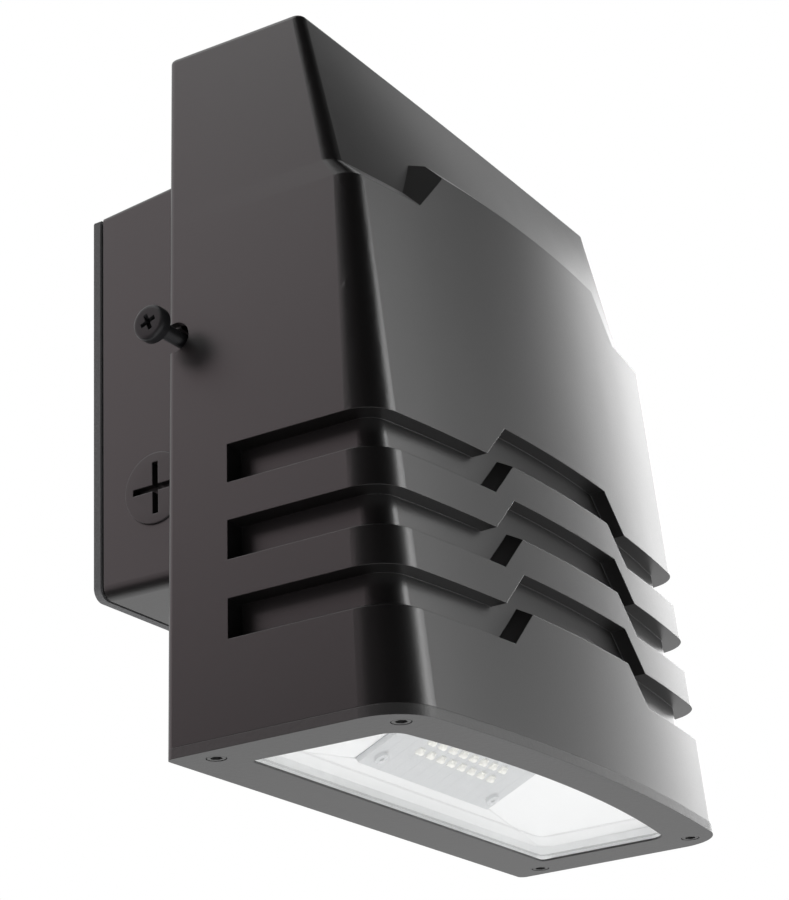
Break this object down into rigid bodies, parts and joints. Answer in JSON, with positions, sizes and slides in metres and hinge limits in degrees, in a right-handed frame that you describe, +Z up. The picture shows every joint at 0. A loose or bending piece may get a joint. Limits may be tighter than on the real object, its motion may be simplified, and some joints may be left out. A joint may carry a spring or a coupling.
{
  "type": "wall pack light",
  "caption": "Cut-off outdoor wall light: a tapered louvred housing hinged on a shallow wall box, shining down through a glass, held shut by side screws.",
  "frame": {"origin": "middle of the wall face of the wall box, at the centre of its screw pattern", "axes": "+Z up, +Y into the wall, +X to the right as seen from in front, looking at the wall"},
  "size_m": [0.28, 0.1554, 0.29],
  "materials": {
    "housing_paint": "satin dark bronze powder coat",
    "box_paint": "satin dark bronze powder coat",
    "frame_paint": "satin dark bronze powder coat, seen from below",
    "plug_paint": "satin dark bronze",
    "black_steel": "black oxide",
    "pin_steel": "plain steel",
    "zinc_steel": "zinc plated",
    "green_steel": "green",
    "seal_rubber": "closed-cell foam and moulded rubber",
    "clear_silicone": "translucent silicone",
    "lens_glass": "clear tempered glass",
    "reflector_white": "white, high reflectance",
    "pad_grey": "soft thermal pad",
    "board_white": "white solder mask on aluminium",
    "chip_phosphor": "pale lens over phosphor",
    "driver_metal": "plain sheet",
    "surge_plastic": "black potted case",
    "terminal_plastic": "pale nylon"
  },
  "bodies": {
    "box": {"wall_box": "box_paint", "wall_seal": "seal_rubber", "conduit_plug_left": "plug_paint", "conduit_plug_right": "plug_paint", "hinge_pin_left": "pin_steel", "hinge_pin_right": "pin_steel", "terminal_block": "terminal_plastic", "terminal_screws": "zinc_steel", "ground_screw": "green_steel"},
    "lamp": {"housing": "housing_paint", "bottom_frame": "frame_paint", "rim_seal": "seal_rubber", "frame_screws": "black_steel", "lens_glass": "lens_glass", "glass_seal": "clear_silicone", "reflector": "reflector_white", "thermal_pad": "pad_grey", "led_board": "board_white", "led_chips": "chip_phosphor", "board_screws": "zinc_steel", "rear_cover": "box_paint", "cover_screws": "black_steel", "cover_seal": "seal_rubber", "cable_grommet": "seal_rubber", "driver_base": "driver_metal", "driver_lid": "driver_metal", "driver_screws": "zinc_steel", "surge_protector": "surge_plastic", "surge_screws": "zinc_steel"},
    "lock_screw_left": {"lock_screw_left": "black_steel"},
    "lock_screw_right": {"lock_screw_right": "black_steel"}
  },
  "joints": [
    {"name": "housing_swing", "type": "hinge", "parent": "box", "child": "lamp", "pos_m": [0, -0.0518, 0.0895], "axis": [-1, 0, 0], "range_deg": [0, 70]},
    {"name": "lock_left_travel", "type": "slide", "parent": "box", "child": "lock_screw_left", "axis": [1, 0, 0], "range_m": [0, 0.011]},
    {"name": "lock_right_travel", "type": "slide", "parent": "box", "child": "lock_screw_right", "axis": [-1, 0, 0], "range_m": [0, 0.011]}
  ]
}
